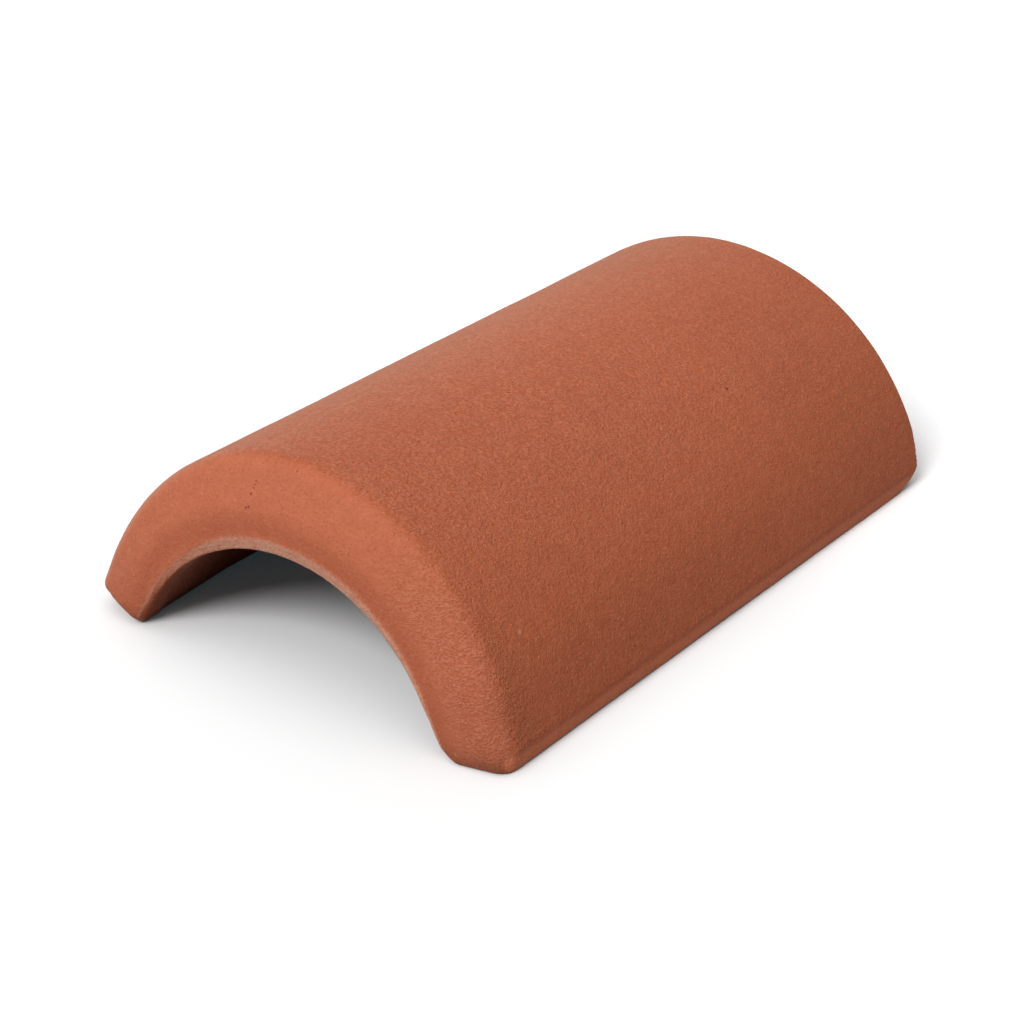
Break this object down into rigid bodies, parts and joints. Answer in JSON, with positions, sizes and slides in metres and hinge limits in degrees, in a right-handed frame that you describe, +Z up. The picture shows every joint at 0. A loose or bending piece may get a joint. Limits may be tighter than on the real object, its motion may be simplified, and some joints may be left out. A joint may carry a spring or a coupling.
{
  "type": "ridge end tile",
  "caption": "Arched ridge end tile with a thick barrel wall, a leaning front face rolled into the barrel and an inward lip that narrows the mouth.",
  "frame": {"origin": "middle of the box on the floor, under the crown", "axes": "+X across the tile, +Y along the barrel from the lipped end to the plain end, +Z up through the crown"},
  "size_m": [0.2328, 0.3328, 0.098],
  "materials": {
    "brick_red_concrete": "matte through-coloured cast concrete with a fine sandy skin"
  },
  "bodies": {
    "root": {"ridge_end_tile": "brick_red_concrete"}
  },
  "joints": []
}
